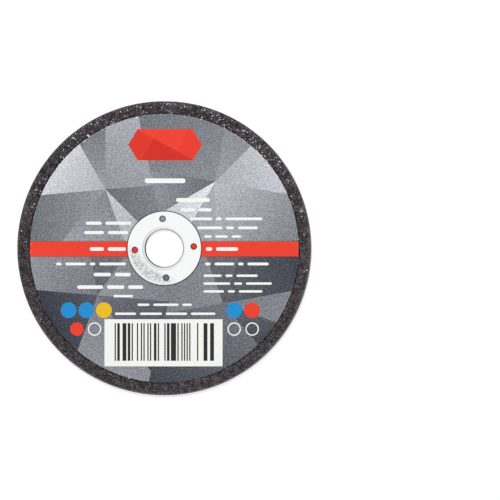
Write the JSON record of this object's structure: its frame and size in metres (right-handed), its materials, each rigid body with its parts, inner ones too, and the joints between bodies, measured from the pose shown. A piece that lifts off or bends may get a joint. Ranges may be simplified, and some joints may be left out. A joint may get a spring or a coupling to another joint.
{
  "type": "cut off wheel",
  "caption": "Thin flat resin-bonded abrasive cutting disc with a flush printed paper label, a bare gritty rim and a drawn metal centre ring that lines its arbor bore.",
  "frame": {"origin": "centre of the bore on the back face, which is the face that the wheel lies on", "axes": "+Z along the spindle axis, out of the labelled face; +Y towards the top of the label; +X to its right"},
  "size_m": [0.075, 0.075, 0.0011],
  "materials": {
    "abrasive": "coarse bonded grain, dark brown-black",
    "printed_paper": "matt grey print pressed on to grain",
    "bright_metal": "bright tinned sheet, slightly mottled"
  },
  "bodies": {
    "root": {"abrasive_disc": "abrasive", "paper_label": "printed_paper", "centre_ring": "bright_metal"}
  },
  "joints": []
}
